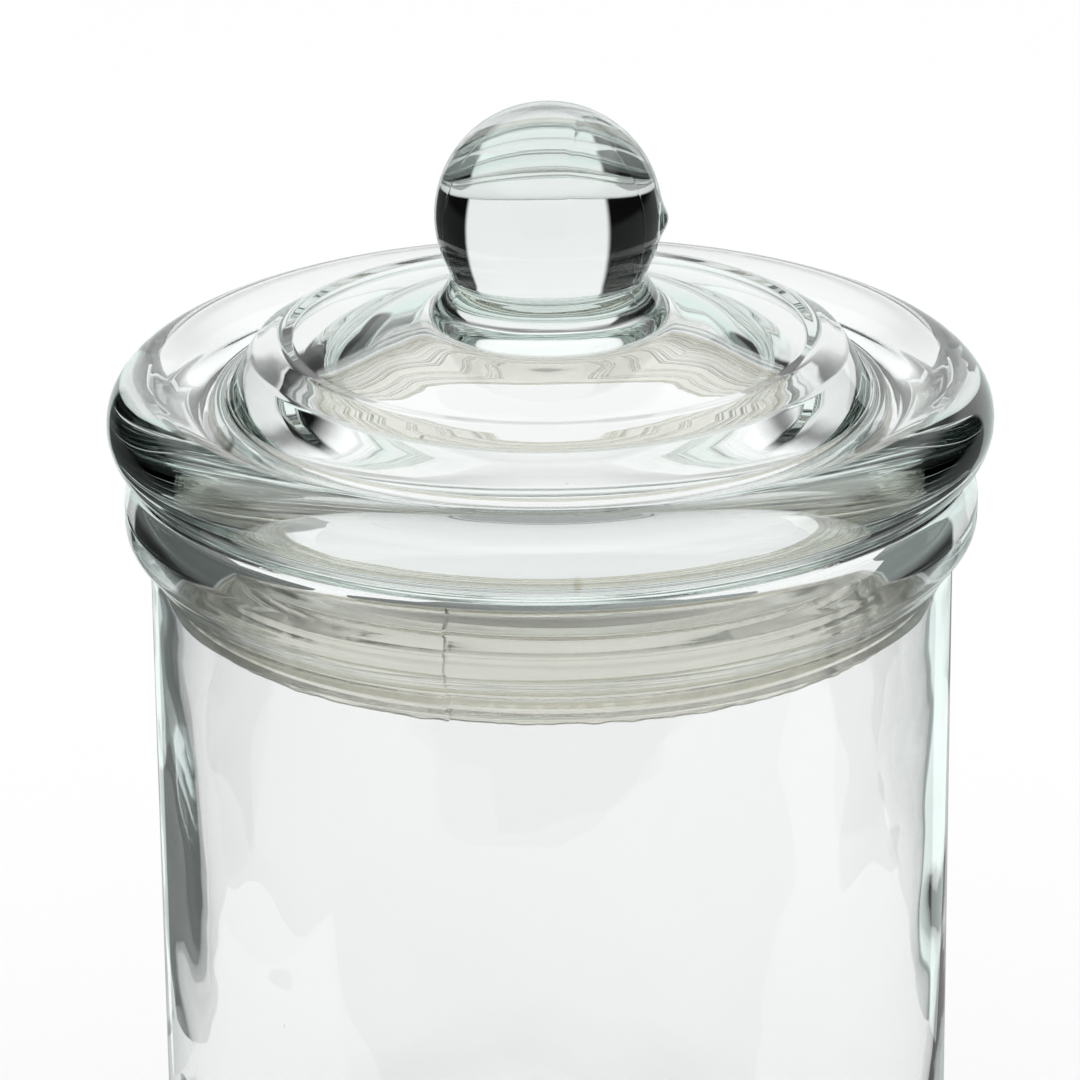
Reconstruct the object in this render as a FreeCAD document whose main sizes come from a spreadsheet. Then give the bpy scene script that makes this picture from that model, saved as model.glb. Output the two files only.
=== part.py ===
import FreeCAD, Part
import Sketcher
import math
import os
import re

# Specimen jar: a straight glass jar with a beaded rim, a pressed lid with a ball knob, and a ribbed
# plastic sealing strip round the lid's plug. Millimetres, +Z up, origin at the bottom centre.

doc = FreeCAD.newDocument("specimen_jar")

# Driving dimensions. Radii are from the jar's axis; *_height is above the surface it stands on,
# *_drop is below the rim, and *_rise is above the rim.
SIZES = {
    # jar
    "body_radius": 50.2,
    "bore_radius": 47.0,
    "rim_height": 150.0,
    "rim_radius": 52.0,
    "rim_rounding": 1.5,
    "collar_radius": 53.2,
    "collar_upper_drop": 4.3,
    "collar_lower_drop": 8.1,
    "collar_foot_drop": 11.3,
    "collar_rounding": 3.0,
    "collar_fillet": 1.5,
    "heel_rounding": 7.0,
    "punt_height": 3.2,
    "punt_radius": 38.0,
    "punt_rounding": 8.0,
    "floor_height": 7.5,
    "floor_rounding": 7.0,
    # lid
    "flange_radius": 55.2,
    "flange_thickness": 11.4,
    "flange_rounding": 5.6,
    "shoulder_radius": 48.4,
    "valley_radius": 40.6,
    "valley_rise": 8.4,
    "valley_rounding": 1.5,
    "ridge_radius": 36.9,
    "ridge_rise": 14.4,
    "ridge_inner_radius": 33.4,
    "ridge_crest_rise": 16.3,
    "ridge_rounding": 1.6,
    "crease_radius": 31.8,
    "crease_rise": 16.0,
    "dome_radius": 24.0,
    "dome_rise": 18.4,
    "dome_rounding": 60.0,
    "boss_radius": 14.0,
    "boss_rise": 19.7,
    "plug_top_radius": 43.9,
    "plug_radius": 43.6,
    "plug_drop": 17.6,
    "plug_lip": 4.2,
    "plug_rounding": 1.5,
    "plug_fillet": 0.8,
    "hollow_top_radius": 14.6,
    "hollow_top_rise": 15.0,
    "hollow_top_rounding": 8.0,
    "hollow_waist_radius": 20.7,
    "hollow_waist_rise": 13.0,
    "hollow_waist_rounding": 18.0,
    "hollow_foot_radius": 37.3,
    "hollow_foot_rise": 3.2,
    "hollow_foot_rounding": 3.8,
    # knob
    "neck_radius": 12.1,
    "neck_length": 3.2,
    "knob_crease": 0.8,
    "knob_radius": 14.0,
    "knob_cheek_rise": 28.4,
    "knob_cheek_rounding": 14.0,
    "knob_crown_rounding": 13.4,
    "knob_top_rise": 45.3,
    # sealing strip
    "strip_gap": 0.3,
    "strip_thickness": 0.9,
    "strip_top_drop": 1.2,
    "strip_bottom_drop": 17.1,
    "lip_radius": 46.7,
    "lip_root": 0.45,
    "edge_width": 0.2,
    "rib_depth": 0.55,
    "rib_root": 0.35,
    "first_lip_drop": 3.4,
    "second_lip_drop": 5.3,
    "first_rib_drop": 6.6,
    "rib_pitch": 1.3,
    "third_lip_drop": 13.3,
    "fourth_lip_drop": 15.5,
    "joint_angle": 254.3,
    "joint_gap_angle": 0.45,
}


def make_sheet():
    """The spreadsheet that every size is bound to."""
    table = doc.addObject("Spreadsheet::Sheet", "Sizes")
    for row, (name, size) in enumerate(SIZES.items(), start=1):
        table.set(f"A{row}", name)
        table.set(f"B{row}", str(size))
        table.setAlias(f"B{row}", name)
    doc.recompute()
    return table


sheet = make_sheet()


def bound(words):
    """An expression in the sheet's own names, as other objects write it."""
    return re.sub(r"\b([a-z]+(?:_[a-z]+)+)\b", r"Sizes.\1", words)


def value(words):
    """The number that an expression in the sheet's names comes to."""
    return float(sheet.evalExpression(words))


class Corner:
    """A corner of an outline: its radius from the axis, its height, and the arc that rounds it."""

    def __init__(self, radius, height, rounding=None):
        self.words = (radius, height)
        self.at = FreeCAD.Vector(value(radius), value(height), 0)
        self.rounding = rounding
        self.first = self.at
        self.last = self.at

    def round_off(self, before, after):
        """Places the ends of the rounding arc on the two straight sides, and its middle between."""
        size = value(self.rounding)
        back = (before.at - self.at).normalize()
        ahead = (after.at - self.at).normalize()
        half = back.getAngle(ahead) / 2
        self.first = self.at + back * (size / math.tan(half))
        self.last = self.at + ahead * (size / math.tan(half))
        inward = (back + ahead).normalize()
        self.middle = self.at + inward * (size / math.sin(half) - size)
        self.turns_left = back.cross(ahead).z < 0


def fix_point(sketch, geometry, end, words):
    """Binds a point's distance from the axis and its height to the sheet."""
    upright, level = -2, -1
    for kind, axis, text in (("DistanceX", upright, words[0]), ("DistanceY", level, words[1])):
        if text == "0":
            sketch.addConstraint(Sketcher.Constraint("PointOnObject", geometry, end, axis))
        else:
            distance = Sketcher.Constraint(kind, level, 1, geometry, end, value(text))
            index = sketch.addConstraint(distance)
            sketch.setExpression(f"Constraints[{index}]", bound(text))


def draw_outline(sketch, corners):
    """Draws a closed outline of straight sides and rounded corners, and constrains it fully."""
    count = len(corners)
    for index, corner in enumerate(corners):
        if corner.rounding:
            corner.round_off(corners[index - 1], corners[(index + 1) % count])
    sides = []
    for index, corner in enumerate(corners):
        following = corners[(index + 1) % count]
        sides.append(sketch.addGeometry(Part.LineSegment(corner.last, following.first)))
    for index, corner in enumerate(corners):
        arriving, leaving = sides[index - 1], sides[index]
        if not corner.rounding:
            sketch.addConstraint(Sketcher.Constraint("Coincident", arriving, 2, leaving, 1))
            fix_point(sketch, leaving, 1, corner.words)
            continue
        ends = (corner.first, corner.last) if corner.turns_left else (corner.last, corner.first)
        arc = sketch.addGeometry(Part.Arc(ends[0], corner.middle, ends[1]))
        first, last = (1, 2) if corner.turns_left else (2, 1)
        sketch.addConstraint(Sketcher.Constraint("Tangent", arriving, 2, arc, first))
        sketch.addConstraint(Sketcher.Constraint("Tangent", arc, last, leaving, 1))
        radius = sketch.addConstraint(Sketcher.Constraint("Radius", arc, value(corner.rounding)))
        sketch.setExpression(f"Constraints[{radius}]", bound(corner.rounding))
        mark = sketch.addGeometry(Part.Point(corner.at), True)
        sketch.addConstraint(Sketcher.Constraint("PointOnObject", mark, 1, arriving))
        sketch.addConstraint(Sketcher.Constraint("PointOnObject", mark, 1, leaving))
        fix_point(sketch, mark, 1, corner.words)


def origin_plane(body, role):
    """One of the body's own origin planes."""
    return next(plane for plane in body.Origin.OriginFeatures if plane.Role == role)


def turned_body(label, corners, gap="0"):
    """A body made by turning an outline, drawn in the upright plane, round the axis."""
    body = doc.addObject("PartDesign::Body", label)
    body.Label = label
    sketch = body.newObject("Sketcher::SketchObject", f"{label}_outline")
    sketch.AttachmentSupport = [(origin_plane(body, "XZ_Plane"), "")]
    sketch.MapMode = "FlatFace"
    draw_outline(sketch, [Corner(*corner) for corner in corners])
    turn = body.newObject("PartDesign::Revolution", f"{label}_turn")
    turn.Profile = sketch
    turn.ReferenceAxis = (sketch, ["V_Axis"])
    turn.setExpression("Angle", f"360 - {bound(gap)}")
    body.Placement = FreeCAD.Placement()
    return body


def make_jar():
    """Straight glass cylinder with a pushed-up base, a rounded heel and a beaded rim."""
    return turned_body("jar_body", [
        ("0", "punt_height"),
        ("punt_radius", "0", "punt_rounding"),
        ("body_radius", "0", "heel_rounding"),
        ("body_radius", "rim_height - collar_foot_drop", "collar_fillet"),
        ("collar_radius", "rim_height - collar_lower_drop", "collar_rounding"),
        ("collar_radius", "rim_height - collar_upper_drop", "collar_rounding"),
        ("rim_radius", "rim_height", "rim_rounding"),
        ("bore_radius", "rim_height", "rim_rounding"),
        ("bore_radius", "floor_height", "floor_rounding"),
        ("0", "floor_height"),
    ])


def make_lid():
    """Pressed lid: a full-round flange, a ridged dome, and a hollow plug that drops into the bore."""
    return turned_body("lid", [
        ("0", "rim_height + hollow_top_rise"),
        ("hollow_top_radius", "rim_height + hollow_top_rise", "hollow_top_rounding"),
        ("hollow_waist_radius", "rim_height + hollow_waist_rise", "hollow_waist_rounding"),
        ("hollow_foot_radius", "rim_height + hollow_foot_rise", "hollow_foot_rounding"),
        ("plug_radius - plug_lip", "rim_height - plug_drop", "plug_rounding"),
        ("plug_radius", "rim_height - plug_drop", "plug_rounding"),
        ("plug_top_radius", "rim_height", "plug_fillet"),
        ("flange_radius", "rim_height", "flange_rounding"),
        ("flange_radius", "rim_height + flange_thickness", "flange_rounding"),
        ("shoulder_radius", "rim_height + flange_thickness", "flange_rounding"),
        ("valley_radius", "rim_height + valley_rise", "valley_rounding"),
        ("ridge_radius", "rim_height + ridge_rise", "ridge_rounding"),
        ("ridge_inner_radius", "rim_height + ridge_crest_rise", "ridge_rounding"),
        ("crease_radius", "rim_height + crease_rise"),
        ("dome_radius", "rim_height + dome_rise", "dome_rounding"),
        ("boss_radius", "rim_height + boss_rise"),
        ("0", "rim_height + boss_rise"),
    ])


def make_knob():
    """Solid ball on a short neck, joined to the boss of the lid."""
    return turned_body("lid_knob", [
        ("0", "rim_height + boss_rise"),
        ("boss_radius", "rim_height + boss_rise"),
        ("neck_radius", "rim_height + boss_rise + neck_length"),
        ("neck_radius", "rim_height + boss_rise + neck_length + knob_crease"),
        ("knob_radius", "rim_height + knob_cheek_rise", "knob_cheek_rounding"),
        ("knob_radius", "rim_height + knob_top_rise", "knob_crown_rounding"),
        ("0", "rim_height + knob_top_rise"),
    ])


def make_strip():
    """Sealing strip: an extruded band with lips and fine ribs, bent round the plug to a butt joint."""
    inner = "plug_top_radius + strip_gap"
    outer = f"{inner} + strip_thickness"
    fourth_rib = "first_rib_drop + 3 * rib_pitch"
    third_rib = "first_rib_drop + 2 * rib_pitch"
    second_rib = "first_rib_drop + rib_pitch"
    rising = [
        ("fourth_lip_drop", "lip"),
        ("third_lip_drop", "lip"),
        (fourth_rib, "rib"),
        (third_rib, "rib"),
        (second_rib, "rib"),
        ("first_rib_drop", "rib"),
        ("second_lip_drop", "lip"),
        ("first_lip_drop", "lip"),
    ]
    corners = [(inner, "rim_height - strip_bottom_drop"), (outer, "rim_height - strip_bottom_drop")]
    for drop, kind in rising:
        middle = f"rim_height - ({drop})"
        tip = "lip_radius" if kind == "lip" else f"{outer} + rib_depth"
        corners.append((outer, f"{middle} - {kind}_root"))
        corners.append((tip, f"{middle} - edge_width"))
        corners.append((tip, f"{middle} + edge_width"))
        corners.append((outer, f"{middle} + {kind}_root"))
    corners.append((outer, "rim_height - strip_top_drop"))
    corners.append((inner, "rim_height - strip_top_drop"))
    strip = turned_body("sealing_strip", corners, gap="joint_gap_angle")
    upright = FreeCAD.Vector(0, 0, 1)
    strip.Placement = FreeCAD.Placement(
        FreeCAD.Vector(0, 0, 0), FreeCAD.Rotation(upright, value("joint_angle"))
    )
    return strip


def check(bodies):
    """Stops if any object failed or any sub-part is not one sound solid."""
    for item in doc.Objects:
        if "Invalid" in item.State or "Error" in item.State:
            raise RuntimeError(f"{item.Name} did not compute: {item.State}")
        if item.TypeId == "Sketcher::SketchObject" and item.solve() != 0:
            raise RuntimeError(f"{item.Name} has constraints that do not solve")
    for body in bodies:
        shape = body.Shape
        if shape.isNull() or not shape.isValid() or len(shape.Solids) != 1 or shape.Volume <= 0:
            raise RuntimeError(f"{body.Label} is not one sound solid")


def write(bodies):
    """Writes each sub-part to a STEP file under its own name."""
    os.makedirs("parts", exist_ok=True)
    for body in bodies:
        body.Shape.exportStep(f"parts/{body.Label}.step")
        box = body.Shape.optimalBoundingBox()
        print(
            f"{body.Label}: {body.Shape.Volume / 1000:.1f} cm3, radius {box.XMax:.2f},"
            f" height {box.ZMin:.2f} to {box.ZMax:.2f}"
        )


bodies = [make_jar(), make_strip(), make_lid(), make_knob()]
doc.recompute()
check(bodies)
write(bodies)
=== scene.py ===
import math

import bpy
import numpy as np
from mathutils import Matrix, Vector, noise


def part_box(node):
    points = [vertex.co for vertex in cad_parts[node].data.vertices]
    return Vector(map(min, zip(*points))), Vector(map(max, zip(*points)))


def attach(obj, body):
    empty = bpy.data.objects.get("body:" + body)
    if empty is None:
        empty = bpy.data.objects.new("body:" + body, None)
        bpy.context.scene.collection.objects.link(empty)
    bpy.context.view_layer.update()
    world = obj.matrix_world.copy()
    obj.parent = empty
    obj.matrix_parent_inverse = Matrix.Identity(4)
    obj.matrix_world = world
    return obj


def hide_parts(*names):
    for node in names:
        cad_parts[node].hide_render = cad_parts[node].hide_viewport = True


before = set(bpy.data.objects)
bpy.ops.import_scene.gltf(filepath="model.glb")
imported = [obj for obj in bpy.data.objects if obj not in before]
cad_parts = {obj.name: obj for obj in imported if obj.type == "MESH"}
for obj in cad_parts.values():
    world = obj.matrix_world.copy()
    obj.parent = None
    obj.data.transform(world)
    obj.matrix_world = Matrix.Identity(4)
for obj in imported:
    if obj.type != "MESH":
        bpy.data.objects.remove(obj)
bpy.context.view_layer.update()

MM = 0.001

# ---------------------------------------------------------------- sizes, from the frame
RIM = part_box("jar_body")[1].z                    # height of the rim, where the lid's flange rests
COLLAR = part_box("jar_body")[1].x                 # outside radius of the bead at the rim
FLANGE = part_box("lid")[1].x                      # outside radius of the lid's flange
PLUG_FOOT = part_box("lid")[0].z                   # lower edge of the plug
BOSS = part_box("lid_knob")[0].z                   # where the knob's neck leaves the lid
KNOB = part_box("lid_knob")[1].x                   # radius of the ball
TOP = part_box("lid_knob")[1].z                    # top of the ball
STRIP_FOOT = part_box("sealing_strip")[0].z
STRIP_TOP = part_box("sealing_strip")[1].z
FLANGE_THICKNESS = 11.4 * MM
EQUATOR = RIM + FLANGE_THICKNESS / 2             # widest level of the flange

# ---------------------------------------------------------------- marks of how it was made
SEAMS = (math.radians(270 - 66.5), math.radians(270 + 57), math.radians(87))     # the ball's mould seams
NUB_RISE = 25.0 * MM                             # the ball's flash nub, above the equator
STAIN = (3.0 * MM, -55.0 * MM, RIM + 3.6 * MM)   # a small olive streak low on the flange
JOINT = math.radians(254.3)                      # where the strip's two ends meet
JOINT_WIDTH = 0.12 * MM
RIB_BAND = (RIM - 11.2 * MM, RIM - 5.9 * MM)     # the lips above and below it hide the rest of the joint
STRIP_RADIUS = 45 * MM                           # about the middle of the band

# ---------------------------------------------------------------- mesh columns round the axis
JAR_COLUMNS = 256
LID_COLUMNS = 256
STRIP_COLUMNS = 360


# ---------------------------------------------------------------- outlines
def rounded(corners, step=0.35 * MM, straight_step=1.4 * MM):
    """Points along a path of straight sides whose corners (radius, height, rounding) are arcs."""
    points = [np.array(corners[0][:2])]
    for before, corner, after in zip(corners, corners[1:], corners[2:]):
        at = np.array(corner[:2])
        size = corner[2]
        back = np.array(before[:2]) - at
        ahead = np.array(after[:2]) - at
        back /= np.linalg.norm(back)
        ahead /= np.linalg.norm(ahead)
        half = math.acos(float(np.clip(back @ ahead, -1, 1))) / 2
        if size == 0:
            points.append(at)
            continue
        inward = (back + ahead) / np.linalg.norm(back + ahead)
        centre = at + inward * size / math.sin(half)
        first = at + back * size / math.tan(half) - centre
        last = at + ahead * size / math.tan(half) - centre
        sweep = math.pi - 2 * half
        count = max(4, math.ceil(sweep * size / step))
        turn = math.copysign(sweep, first[0] * last[1] - first[1] * last[0])
        for part in range(count + 1):
            angle = turn * part / count
            cos, sin = math.cos(angle), math.sin(angle)
            x, y = first
            points.append(centre + np.array([cos * x - sin * y, sin * x + cos * y]))
    points.append(np.array(corners[-1][:2]))
    return spaced(np.array(points), straight_step)


def spaced(points, longest):
    """Divides every side that is longer than the longest allowed."""
    out = [points[0]]
    for start, end in zip(points, points[1:]):
        count = max(1, math.ceil(np.linalg.norm(end - start) / longest))
        out += [start + (end - start) * part / count for part in range(1, count + 1)]
    return np.array(out)


def melted(points, reach, rounds=6):
    """Softens a path as fire polishing does, keeping its two ends."""
    points = points.copy()
    for _ in range(rounds):
        length = np.linalg.norm(np.diff(points, axis=0), axis=1)
        before, after = length[:-1, None], length[1:, None]
        middle = (points[:-2] * after + points[2:] * before) / (before + after)
        share = np.minimum(1.0, reach / (before + after)) * 0.5
        points[1:-1] += (middle - points[1:-1]) * share
    return points


# ---------------------------------------------------------------- turned meshes
def turned(name, outline, wobble, angles):
    """A closed mesh made by turning an outline (radius, height) round the jar's axis.

    wobble(angle, radius, height) gives a small change of radius and height, and angles are the
    rising angles of the mesh's columns. An outline whose ends are on the axis makes a closed solid;
    any other outline is joined end to start."""
    on_axis = outline[0][0] < 1e-9
    ring = outline[1:-1] if on_axis else outline
    columns = len(angles)
    count = len(ring)
    verts = []
    for angle in angles:
        cos, sin = math.cos(angle), math.sin(angle)
        for radius, height in ring:
            out, up = wobble(angle, radius, height)
            verts.append(((radius + out) * cos, (radius + out) * sin, height + up))
    faces = []
    for column in range(columns):
        here = column * count
        there = ((column + 1) % columns) * count
        for row in range(count - 1 if on_axis else count):
            following = (row + 1) % count
            faces.append((here + row, there + row, there + following, here + following))
    if on_axis:
        for pole, row in ((outline[0], 0), (outline[-1], count - 1)):
            verts.append((0.0, 0.0, pole[1]))
            tip = len(verts) - 1
            for column in range(columns):
                here = column * count + row
                there = ((column + 1) % columns) * count + row
                faces.append((tip, there, here) if row == 0 else (tip, here, there))
    mesh = bpy.data.meshes.new(name)
    mesh.from_pydata(verts, [], faces)
    mesh.validate()
    piece = bpy.data.objects.new(name, mesh)
    bpy.context.scene.collection.objects.link(piece)
    face_outward(mesh)
    mesh.shade_smooth()
    return piece


def even_angles(count):
    """Angles of equal steps round the whole turn."""
    return [2 * math.pi * step / count for step in range(count)]


def face_outward(mesh):
    """Turns the faces so that the mesh encloses a positive volume."""
    mesh.calc_loop_triangles()
    volume = 0.0
    for triangle in mesh.loop_triangles:
        a, b, c = (mesh.vertices[i].co for i in triangle.vertices)
        volume += a.dot(b.cross(c))
    if volume < 0:
        mesh.flip_normals()


def ripple(angle, height, waves, pitch, seed):
    """Smooth noise round and along the jar, from -1 to 1: waves lobes round, pitch long."""
    reach = waves / 2
    place = Vector((math.cos(angle) * reach, math.sin(angle) * reach, height / pitch))
    return noise.noise(place + Vector((seed, seed * 0.37, -seed * 0.71)))


# ---------------------------------------------------------------- the jar
def jar_outline():
    """Round the jar: its pushed-up base, the outside wall, the bead and rim, and the inside."""
    gap = 0.15 * MM                              # air between the rim and the flange
    body, bore = 50.2 * MM, 47.0 * MM
    corners = [
        (0.0, 3.2 * MM, 0),
        (38.0 * MM, 0.0, 8.0 * MM),
        (body, 0.0, 7.0 * MM),
        (body, RIM - 11.3 * MM, 1.8 * MM),
        (COLLAR, RIM - 8.1 * MM, 3.0 * MM),
        (COLLAR, RIM - 4.3 * MM, 3.0 * MM),
        (52.0 * MM, RIM - gap, 1.5 * MM),
        (bore, RIM - gap, 1.5 * MM),
        (bore, 7.5 * MM, 7.0 * MM),
        (0.0, 7.5 * MM, 0),
    ]
    return melted(rounded(corners), 0.5 * MM)


def jar_wobble(angle, radius, height):
    """The blown wall's unevenness: long waves on the inside below the neck, fainter ones outside,
    and fine striations round the bead."""
    neck = min(1.0, max(0.0, (RIM - 18 * MM - height) / (14 * MM)))
    inside = radius < 48.5 * MM and height > 10 * MM
    if inside:
        out = 0.45 * MM * ripple(angle, height, waves=4, pitch=34 * MM, seed=3.1) * neck
        out += 0.18 * MM * ripple(angle, height, waves=9, pitch=13 * MM, seed=8.4) * neck
        out += 0.02 * MM * ripple(angle, height, waves=8, pitch=6 * MM, seed=1.7)
    else:
        out = 0.05 * MM * ripple(angle, height, waves=4, pitch=34 * MM, seed=5.2)
        if RIM - 14 * MM < height < RIM - 1 * MM:
            out += 0.035 * MM * ripple(angle, height, waves=3, pitch=1.7 * MM, seed=2.6)
    return out, 0.0


# ---------------------------------------------------------------- the lid and its knob
def lid_outline():
    """Round the lid: the hollow, the plug, the flange, the valley, the ridge, the dome and the ball."""
    corners = [
        (0.0, RIM + 15.2 * MM, 0),
        (14.6 * MM, RIM + 15.0 * MM, 8.0 * MM),
        (20.7 * MM, RIM + 13.0 * MM, 18.0 * MM),
        (37.3 * MM, RIM + 3.2 * MM, 3.8 * MM),
        (39.4 * MM, PLUG_FOOT, 1.5 * MM),
        (43.6 * MM, PLUG_FOOT, 1.5 * MM),
        (43.9 * MM, RIM, 0.8 * MM),
        (FLANGE - 0.1 * MM, RIM, 5.65 * MM),
        (FLANGE - 0.1 * MM, RIM + FLANGE_THICKNESS, 5.65 * MM),
        (48.4 * MM, RIM + FLANGE_THICKNESS, 5.8 * MM),
        (40.6 * MM, RIM + 8.4 * MM, 1.5 * MM),
        (36.9 * MM, RIM + 14.4 * MM, 1.6 * MM),
        (33.4 * MM, RIM + 16.3 * MM, 1.6 * MM),
        (31.8 * MM, RIM + 16.0 * MM, 1.0 * MM),
        (24.0 * MM, RIM + 18.4 * MM, 60.0 * MM),
        (14.0 * MM, BOSS + 0.2 * MM, 3.2 * MM),
        (11.9 * MM, BOSS + 4.0 * MM, 0.7 * MM),
        (KNOB, RIM + 28.4 * MM, 14.0 * MM),
        (KNOB, TOP, 13.9 * MM),
        (0.0, TOP, 0),
    ]
    return melted(rounded(corners), 0.5 * MM)


def bump_at(value, centre, width):
    """A smooth hill of height 1 at centre, about width to each side."""
    return math.exp(-((value - centre) / width) ** 2)


def past(angle, mark):
    """How far an angle is past a mark, from minus half a turn to half a turn."""
    return (angle - mark + math.pi) % (2 * math.pi) - math.pi


def lid_angles():
    """Even steps, with extra ones across the mould seams."""
    step = 0.008
    close = [seam + part * step for seam in SEAMS for part in (-3, -2, -1, 0, 1, 2, 3)]
    apart = [a for a in even_angles(LID_COLUMNS) if min(abs(a - c) for c in close) > step]
    return sorted(apart + close)


def lid_wobble(angle, radius, height):
    """Pressed glass: faint waves, the ball's mould seams, and the flash nub at its right side."""
    out = 0.0
    up = 0.0
    if height > BOSS + 3.0 * MM:
        for seam in SEAMS:
            away = past(angle, seam)
            out += 0.05 * MM * bump_at(away * radius, 0.0, 0.16 * MM)
        away = past(angle, 0.0)
        nub = bump_at(away * radius, 0.0, 2.4 * MM) * bump_at(height, EQUATOR + NUB_RISE, 1.6 * MM)
        share = min(1.0, radius / (6 * MM))
        out += 0.8 * MM * nub
        out += 0.04 * MM * ripple(angle, height, waves=4, pitch=9 * MM, seed=2.2) * share
    else:
        share = min(1.0, radius / (10 * MM))
        out = 0.035 * MM * ripple(angle, radius + height, waves=4, pitch=14 * MM, seed=6.5) * share
        up = 0.04 * MM * ripple(angle, radius - height, waves=3, pitch=16 * MM, seed=4.6) * share
        if radius > 43 * MM and height < RIM + 0.2 * MM:
            up = 0.0
    return out, up


# ---------------------------------------------------------------- the sealing strip
def strip_outline():
    """Round the band's section: its inner side, then the lips and ribs up its outer side."""
    inner, outer, tip = 44.2 * MM, 45.1 * MM, 46.7 * MM
    rib = outer + 0.5 * MM
    lip_root, rib_root, edge = 0.45 * MM, 0.4 * MM, 0.12 * MM
    rising = [                                   # each lip or rib: mm below the rim, tip, half root
        (15.5, tip, lip_root), (13.3, tip, lip_root),
        (10.5, rib, rib_root), (9.2, rib, rib_root), (7.9, rib, rib_root), (6.6, rib, rib_root),
        (5.3, tip, lip_root), (3.4, tip, lip_root),
    ]
    corners = [(inner, STRIP_FOOT, 0), (outer, STRIP_FOOT, 0.1 * MM)]
    for drop, reach, root in rising:
        middle = RIM - drop * MM
        corners.append((outer, middle - root, 0.1 * MM))
        corners.append((reach, middle - edge, 0.08 * MM))
        corners.append((reach, middle + edge, 0.08 * MM))
        corners.append((outer, middle + root, 0.1 * MM))
    corners += [(outer, STRIP_TOP, 0.1 * MM), (inner, STRIP_TOP, 0)]
    return rounded(corners, step=0.12 * MM, straight_step=0.8 * MM)


def strip_angles():
    """Even steps, with extra ones across the narrow joint."""
    step = JOINT_WIDTH / STRIP_RADIUS
    close = [JOINT + part * step for part in (-3, -2, -1.5, -1, -0.5, 0, 0.5, 1, 1.5, 2, 3)]
    apart = [a for a in even_angles(STRIP_COLUMNS) if abs(a - JOINT) > 4 * step]
    return sorted(apart + close)


def strip_wobble(angle, radius, height):
    """Soft extrusion: it undulates a little, its cut lower edge is ragged, and past the joint its
    layers lie a little higher."""
    up = 0.07 * MM * ripple(angle, height, waves=5, pitch=60 * MM, seed=7.3)
    out = 0.0
    if height < STRIP_FOOT + 0.3 * MM:
        up += 0.2 * MM * ripple(angle, height, waves=60, pitch=5 * MM, seed=9.9)
    if radius > 46 * MM:
        out = -0.04 * MM * abs(ripple(angle, height, waves=9, pitch=5 * MM, seed=3.3))
    away = past(angle, JOINT)
    if RIB_BAND[0] < height < RIB_BAND[1] and radius > 44.8 * MM:
        out -= 0.3 * MM * bump_at(away * radius, 0.0, JOINT_WIDTH)
    if away > 0:
        up += 0.22 * MM * math.exp(-away / 0.35) * min(1.0, away * radius / (0.3 * MM))
    return out, up


# ---------------------------------------------------------------- materials
MIX_SHARE, MIX_FIRST, MIX_SECOND, MIX_RESULT = 0, 6, 7, 2     # the Mix node's sockets for colours


def material(name):
    made = bpy.data.materials.new(name)
    made.use_nodes = True
    tree = made.node_tree
    tree.nodes.clear()
    return made, tree.nodes, tree.links


def noise_texture(nodes, links, vector, scale, detail):
    """Noise at the given places; its Fac output."""
    node = nodes.new("ShaderNodeTexNoise")
    node.inputs["Scale"].default_value = scale
    node.inputs["Detail"].default_value = detail
    links.new(vector, node.inputs["Vector"])
    return node.outputs["Fac"]


def remapped(nodes, links, value, source, target, smooth=False):
    """The value carried from the source range to the target range."""
    node = nodes.new("ShaderNodeMapRange")
    if smooth:
        node.interpolation_type = "SMOOTHSTEP"
    node.inputs["From Min"].default_value, node.inputs["From Max"].default_value = source
    node.inputs["To Min"].default_value, node.inputs["To Max"].default_value = target
    links.new(value, node.inputs["Value"])
    return node.outputs["Result"]


def bumped(nodes, links, height, strength, distance):
    """A bump made from a height; its Normal output."""
    node = nodes.new("ShaderNodeBump")
    node.inputs["Strength"].default_value = strength
    node.inputs["Distance"].default_value = distance
    links.new(height, node.inputs["Height"])
    return node.outputs["Normal"]


def ramp(nodes, links, value, start, end):
    """A colour ramp between two stops, each a position and a colour; its Color output."""
    node = nodes.new("ShaderNodeValToRGB")
    for stop, (position, colour) in zip(node.color_ramp.elements, (start, end)):
        stop.position = position
        stop.color = (*colour, 1)
    links.new(value, node.inputs["Fac"])
    return node.outputs["Color"]


def blended(nodes, links, share, first, second):
    """The first colour (a socket or a colour) changed to the second by share; the mixed colour."""
    node = nodes.new("ShaderNodeMix")
    node.data_type = "RGBA"
    links.new(share, node.inputs[MIX_SHARE])
    if isinstance(first, tuple):
        node.inputs[MIX_FIRST].default_value = (*first, 1)
    else:
        links.new(first, node.inputs[MIX_FIRST])
    node.inputs[MIX_SECOND].default_value = (*second, 1)
    return node.outputs[MIX_RESULT]


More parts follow.
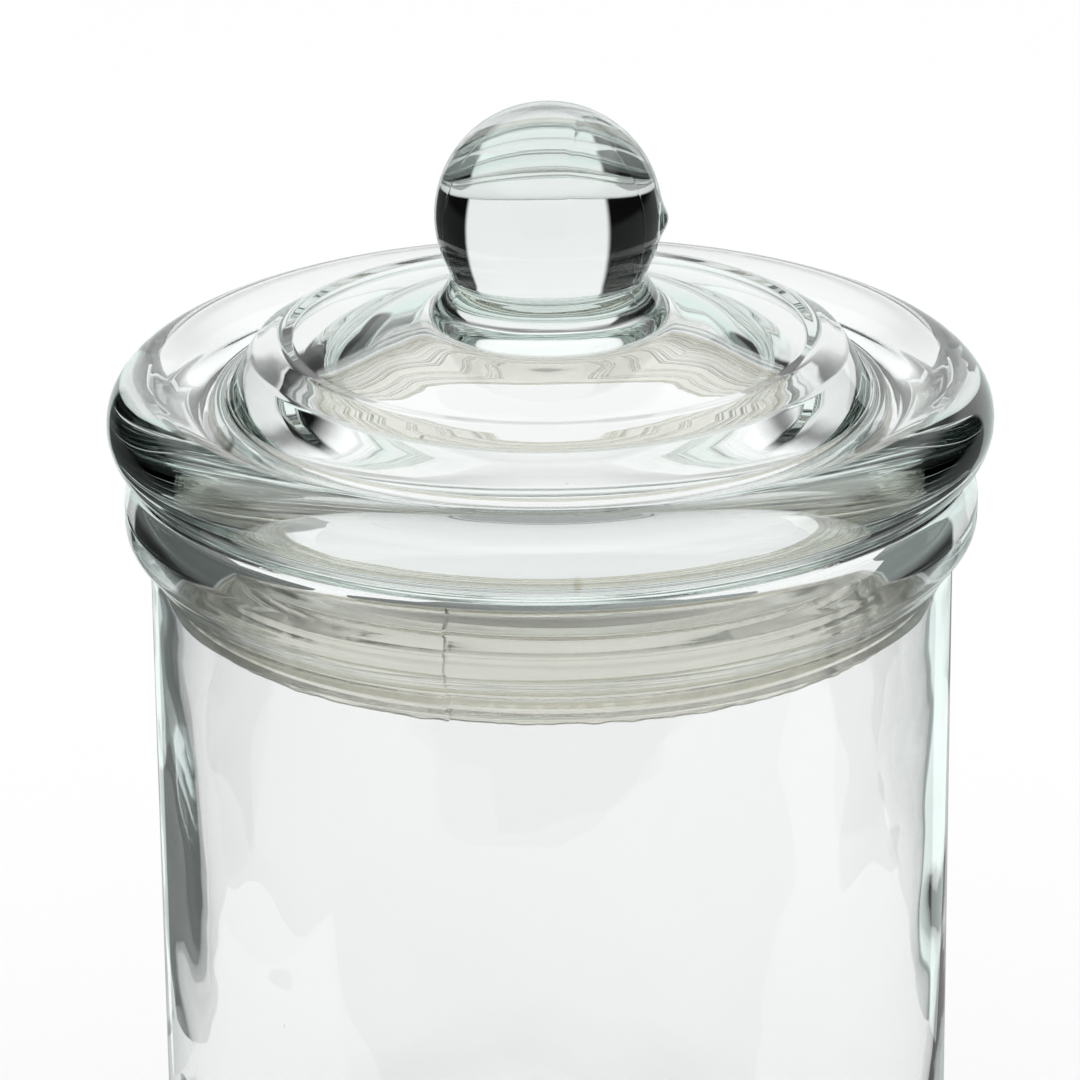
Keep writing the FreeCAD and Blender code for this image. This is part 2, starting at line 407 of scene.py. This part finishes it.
def glass(name, absorption, density, stain=None):
    """Clear soda-lime glass: thick places go green-grey by absorption, fine noise bends it a little,
    and it has a few tiny dark specks. stain is the place of one small olive streak."""
    made, nodes, links = material(name)
    output = nodes.new("ShaderNodeOutputMaterial")
    shader = nodes.new("ShaderNodeBsdfPrincipled")
    shader.inputs["Transmission Weight"].default_value = 1.0
    shader.inputs["IOR"].default_value = 1.52
    place = nodes.new("ShaderNodeTexCoord").outputs["Object"]
    streaks = noise_texture(nodes, links, place, scale=60.0, detail=2.0)
    links.new(bumped(nodes, links, streaks, 0.25, 0.2 * MM), shader.inputs["Normal"])
    smudge = noise_texture(nodes, links, place, scale=45.0, detail=4.0)
    haze = remapped(nodes, links, smudge, (0.55, 0.8), (0.0, 0.02))
    links.new(haze, shader.inputs["Roughness"])
    cells = nodes.new("ShaderNodeTexVoronoi")
    cells.inputs["Scale"].default_value = 62.0
    links.new(place, cells.inputs["Vector"])
    dark, clear = (0.25, 0.25, 0.22), (1.0, 1.0, 1.0)
    colour = ramp(nodes, links, cells.outputs["Distance"], (0.014, dark), (0.022, clear))
    if stain:
        colour = stained(nodes, links, place, colour, stain)
    links.new(colour, shader.inputs["Base Color"])
    volume = nodes.new("ShaderNodeVolumeAbsorption")
    volume.inputs["Color"].default_value = (*absorption, 1)
    volume.inputs["Density"].default_value = density
    links.new(shader.outputs["BSDF"], output.inputs["Surface"])
    links.new(volume.outputs["Volume"], output.inputs["Volume"])
    return made


def stained(nodes, links, place, colour, stain):
    """The colour with an upright olive streak, 2 mm long, at one place."""
    stretch = 0.35                               # heights count less, so the spot is drawn out upwards
    squash = nodes.new("ShaderNodeVectorMath")
    squash.operation = "MULTIPLY"
    squash.inputs[1].default_value = (1.0, 1.0, stretch)
    links.new(place, squash.inputs[0])
    away = nodes.new("ShaderNodeVectorMath")
    away.operation = "DISTANCE"
    away.inputs[1].default_value = (stain[0], stain[1], stain[2] * stretch)
    links.new(squash.outputs["Vector"], away.inputs[0])
    olive = remapped(nodes, links, away.outputs["Value"], (0.2 * MM, 0.8 * MM), (0.8, 0.0))
    return blended(nodes, links, olive, colour, (0.50, 0.47, 0.22))


def milky_plastic(name):
    """Soft plastic, nearly clear, a little cloudy and cream, with faint lengthwise streaks."""
    made, nodes, links = material(name)
    output = nodes.new("ShaderNodeOutputMaterial")
    shader = nodes.new("ShaderNodeBsdfPrincipled")
    shader.inputs["IOR"].default_value = 1.42
    shader.inputs["Transmission Weight"].default_value = 1.0
    through = nodes.new("ShaderNodeBsdfTranslucent")
    milk = nodes.new("ShaderNodeMixShader")
    milk.inputs["Fac"].default_value = 0.07
    stretch = nodes.new("ShaderNodeMapping")
    stretch.inputs["Scale"].default_value = (1.0, 1.0, 14.0)
    links.new(nodes.new("ShaderNodeTexCoord").outputs["Object"], stretch.inputs["Vector"])
    streaks = noise_texture(nodes, links, stretch.outputs["Vector"], scale=60.0, detail=5.0)
    cream, pale = (0.985, 0.955, 0.87), (1.0, 0.985, 0.92)
    tint = ramp(nodes, links, streaks, (0.3, cream), (0.7, pale))
    rough = remapped(nodes, links, streaks, (0.0, 1.0), (0.08, 0.20))
    normal = bumped(nodes, links, streaks, 0.3, 0.02 * MM)
    links.new(tint, shader.inputs["Base Color"])
    links.new(tint, through.inputs["Color"])
    links.new(rough, shader.inputs["Roughness"])
    links.new(normal, shader.inputs["Normal"])
    links.new(normal, through.inputs["Normal"])
    links.new(shader.outputs["BSDF"], milk.inputs[1])
    links.new(through.outputs["BSDF"], milk.inputs[2])
    links.new(milk.outputs["Shader"], output.inputs["Surface"])
    return made


# ---------------------------------------------------------------- the room
def make_world():
    """A dark studio with a white backdrop behind the jar, a bright wall behind the camera, a dim
    table and a soft white ceiling.

    The camera itself sees plain white beyond the floor. Light that the glass reflects inside itself,
    or that crosses many surfaces, meets a grey in the dark parts, in place of a real room's clutter."""
    world = bpy.data.worlds.new("studio")
    bpy.context.scene.world = world
    world.use_nodes = True
    nodes, links = world.node_tree.nodes, world.node_tree.links
    nodes.clear()

    def math_node(kind, first, second=None):
        node = nodes.new("ShaderNodeMath")
        node.operation = kind
        for socket, source in zip(node.inputs, (first, second)):
            if source is None:
                continue
            if isinstance(source, (int, float)):
                socket.default_value = source
            else:
                links.new(source, socket)
        return node.outputs[0]

    def product(first, *others):
        for other in others:
            first = math_node("MULTIPLY", first, other)
        return first

    def between(value, low, high, low_out=0.0, high_out=1.0):
        return remapped(nodes, links, value, (low, high), (low_out, high_out), smooth=True)

    seen = nodes.new("ShaderNodeLightPath").outputs
    split = nodes.new("ShaderNodeSeparateXYZ")
    links.new(nodes.new("ShaderNodeTexCoord").outputs["Generated"], split.inputs["Vector"])
    x, y, z = split.outputs
    azimuth = math_node("ARCTAN2", x, y)
    straight = math_node("LESS_THAN", seen["Glossy Depth"], 0.5)
    reflected = math_node("GREATER_THAN", seen["Glossy Depth"], 0.5)
    deep = math_node("GREATER_THAN", seen["Transmission Depth"], 3.5)
    scattered = math_node("GREATER_THAN", seen["Diffuse Depth"], 0.5)

    soft = math.radians(1.5)
    left, right = math.radians(-23), math.radians(36)
    below_ceiling = between(z, 0.32, 0.5, 1.0, 0.0)
    panel = product(
        between(azimuth, left - soft, left + soft),
        between(azimuth, right - soft, right + soft, 1.0, 0.0),
        below_ceiling,
    )
    far_side = product(
        between(math_node("ABSOLUTE", azimuth), math.radians(80), math.radians(92), 0.0, 0.85),
        seen["Is Transmission Ray"], straight, below_ceiling,
    )
    table = between(z, -0.5, -0.36, 0.13, 0.0)
    ceiling = between(z, 0.42, 0.62, 0.0, 1.25)
    dark = 0.004
    light = math_node("ADD", math_node("MAXIMUM", panel, far_side), math_node("ADD", ceiling, table))
    light = math_node("ADD", light, dark)

    turned_back = product(reflected, between(z, -0.12, 0.0, 1.0, 0.0))
    fill = product(turned_back, between(x, -0.6, 0.6, 0.13, 0.28))
    fill = math_node("MAXIMUM", fill, product(deep, straight, 0.45))
    light = math_node("MAXIMUM", light, fill)
    light = math_node("MAXIMUM", light, scattered)

    lit = nodes.new("ShaderNodeBackground")
    links.new(light, lit.inputs["Strength"])
    white, grey_green = (1.0, 1.0, 1.0), (0.90, 1.0, 0.97)
    links.new(blended(nodes, links, turned_back, white, grey_green), lit.inputs["Color"])
    plain = nodes.new("ShaderNodeBackground")
    plain.inputs["Strength"].default_value = 1.1
    plain.inputs["Color"].default_value = (*white, 1)
    choose = nodes.new("ShaderNodeMixShader")
    output = nodes.new("ShaderNodeOutputWorld")
    links.new(seen["Is Camera Ray"], choose.inputs["Fac"])
    links.new(lit.outputs[0], choose.inputs[1])
    links.new(plain.outputs[0], choose.inputs[2])
    links.new(choose.outputs[0], output.inputs["Surface"])


def make_floor():
    """A pale sheet under the jar. It is narrow behind the jar, so that the wall's sides bend the view
    past its edges into the dark. Reflections see it dimmer, as a table in shade."""
    outline = [                                  # metres
        (-0.24, -0.12), (0.38, -0.12), (0.38, 0.05), (0.12, 0.12),
        (0.14, 1.0), (-0.12, 1.0), (-0.10, 0.12), (-0.24, 0.05),
    ]
    mesh = bpy.data.meshes.new("floor")
    mesh.from_pydata([(x, y, 0) for x, y in outline], [], [tuple(range(len(outline)))])
    floor = bpy.data.objects.new("floor", mesh)
    bpy.context.scene.collection.objects.link(floor)
    made, nodes, links = material("pale_sheet")
    output = nodes.new("ShaderNodeOutputMaterial")
    shader = nodes.new("ShaderNodeBsdfPrincipled")
    shader.inputs["Base Color"].default_value = (0.80, 0.80, 0.80, 1)
    shader.inputs["Roughness"].default_value = 0.8
    shader.inputs["Specular IOR Level"].default_value = 0.0
    shaded = nodes.new("ShaderNodeBsdfDiffuse")
    shaded.inputs["Color"].default_value = (0.3, 0.3, 0.3, 1)
    seen = nodes.new("ShaderNodeLightPath")
    choose = nodes.new("ShaderNodeMixShader")
    links.new(seen.outputs["Is Reflection Ray"], choose.inputs["Fac"])
    links.new(shader.outputs["BSDF"], choose.inputs[1])
    links.new(shaded.outputs["BSDF"], choose.inputs[2])
    links.new(choose.outputs["Shader"], output.inputs["Surface"])
    mesh.materials.append(made)


def make_lamp():
    """One big soft lamp above, which the glass neither shows nor shades."""
    lamp = bpy.data.lights.new("softbox", "AREA")
    lamp.shape = "DISK"
    lamp.size = 1.4
    lamp.energy = 2.9
    lamp.use_shadow = False
    holder = bpy.data.objects.new("softbox", lamp)
    holder.location = (0.0, 0.1, 1.6)
    bpy.context.scene.collection.objects.link(holder)
    holder.visible_camera = False
    holder.visible_glossy = False
    holder.visible_transmission = False


def make_camera():
    """Long lens, 20 degrees above the horizon, looking along +Y at the lid and the jar's upper half."""
    elevation = math.radians(20.3)
    distance = 0.760
    roll = math.radians(0.59)
    aim_left, aim_below = 1.41 * MM, 16.08 * MM  # from the middle of the flange
    lens_mm = 203.67
    ahead = Vector((0, math.cos(elevation), -math.sin(elevation)))
    right = Vector((1, 0, 0))
    up = right.cross(ahead)
    eye = Vector((0, 0, EQUATOR)) - ahead * distance
    aim = Vector((0, 0, EQUATOR)) - right * aim_left - up * aim_below
    data = bpy.data.cameras.new("camera")
    data.sensor_width = 36
    data.lens = lens_mm
    data.clip_start = 0.05
    camera = bpy.data.objects.new("camera", data)
    camera.location = eye
    turn = (aim - eye).to_track_quat("-Z", "Y").to_matrix()
    camera.rotation_euler = (turn @ Matrix.Rotation(-roll, 3, "Z")).to_euler()
    bpy.context.scene.collection.objects.link(camera)
    bpy.context.scene.camera = camera


# ---------------------------------------------------------------- assembly
make_camera()
make_world()
make_floor()
make_lamp()

jar = turned("jar_glass_body", jar_outline(), jar_wobble, even_angles(JAR_COLUMNS))
jar.data.materials.append(glass("jar_glass", (0.50, 0.70, 0.67), 11.0))
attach(jar, "jar")
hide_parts("jar_body")

lid = turned("lid_glass_body", lid_outline(), lid_wobble, lid_angles())
lid.data.materials.append(glass("lid_glass", (0.52, 0.68, 0.62), 10.0, STAIN))
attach(lid, "lid")
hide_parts("lid", "lid_knob")

strip = turned("sealing_strip_band", strip_outline(), strip_wobble, strip_angles())
strip.data.materials.append(milky_plastic("seal_plastic"))
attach(strip, "seal")
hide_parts("sealing_strip")

scene = bpy.context.scene
scene.view_settings.view_transform = "Standard"
scene.cycles.max_bounces = 40                    # light is reflected many times inside thick glass
scene.cycles.glossy_bounces = 12
scene.cycles.transmission_bounces = 32
